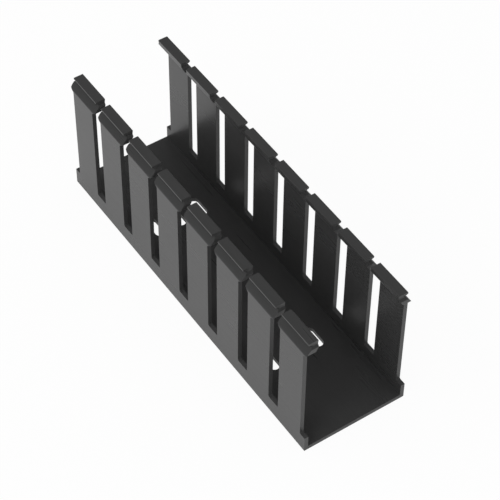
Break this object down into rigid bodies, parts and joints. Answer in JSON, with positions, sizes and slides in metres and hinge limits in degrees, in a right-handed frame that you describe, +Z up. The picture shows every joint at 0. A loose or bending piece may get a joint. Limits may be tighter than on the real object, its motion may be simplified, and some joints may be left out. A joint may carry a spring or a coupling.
{
  "type": "slotted wiring duct",
  "caption": "Open-topped U-shaped plastic wiring duct with wide side slots between T-headed fingers and slotted mounting holes in its base.",
  "frame": {"origin": "centre of the duct's underside", "axes": "+X along the duct, +Y across it from one wall to the other, +Z up out of its open top"},
  "size_m": [0.2032, 0.057, 0.0748],
  "materials": {
    "black_pvc": "satin"
  },
  "bodies": {
    "root": {"slotted_wiring_duct": "black_pvc"}
  },
  "joints": []
}
